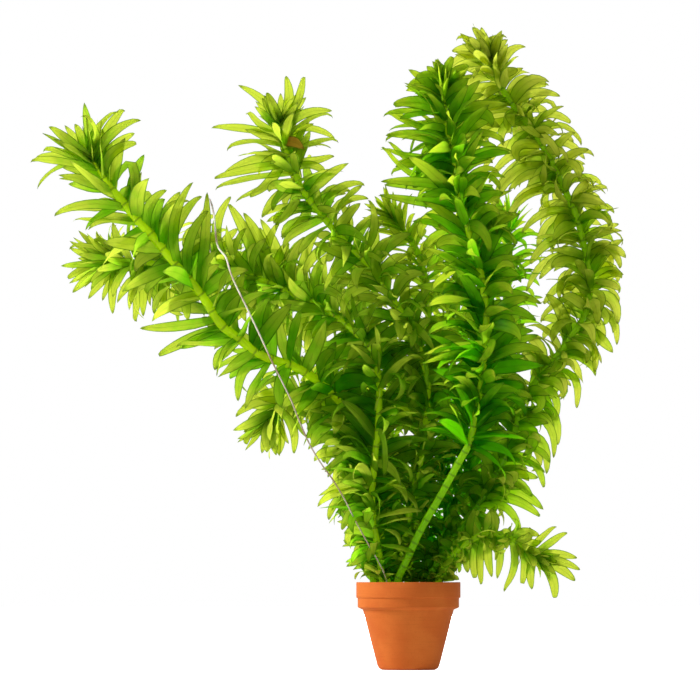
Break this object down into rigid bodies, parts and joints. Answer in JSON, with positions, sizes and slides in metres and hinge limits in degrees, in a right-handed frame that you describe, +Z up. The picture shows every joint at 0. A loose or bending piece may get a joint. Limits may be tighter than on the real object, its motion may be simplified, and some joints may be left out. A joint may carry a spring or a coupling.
{
  "type": "potted aquatic plant",
  "caption": "Bushy stemmed water plant with whorls of narrow leaves, planted in gravel in a small round clay pot.",
  "frame": {"origin": "middle of the underside of the pot, on the surface that it stands on", "axes": "+Z up, +X to the right seen from the front, -Y towards the front"},
  "size_m": [0.2835, 0.1163, 0.3108],
  "materials": {
    "terracotta": "matte unglazed fired clay",
    "gravel": "fine wet brown gravel",
    "leafy_stem": "smooth living leaf and stem",
    "water_root": "pale smooth root"
  },
  "bodies": {
    "root": {"pot": "terracotta", "gravel_bed": "gravel", "water_root": "water_root", "shoot_left_long": "leafy_stem", "shoot_left_outer": "leafy_stem", "shoot_left_drooping": "leafy_stem", "shoot_upper_left": "leafy_stem", "shoot_centre": "leafy_stem", "shoot_tall_front": "leafy_stem", "shoot_great_arch": "leafy_stem", "shoot_low_right": "leafy_stem", "shoot_back_centre": "leafy_stem", "shoot_back_left": "leafy_stem", "shoot_back_right": "leafy_stem"}
  },
  "joints": []
}
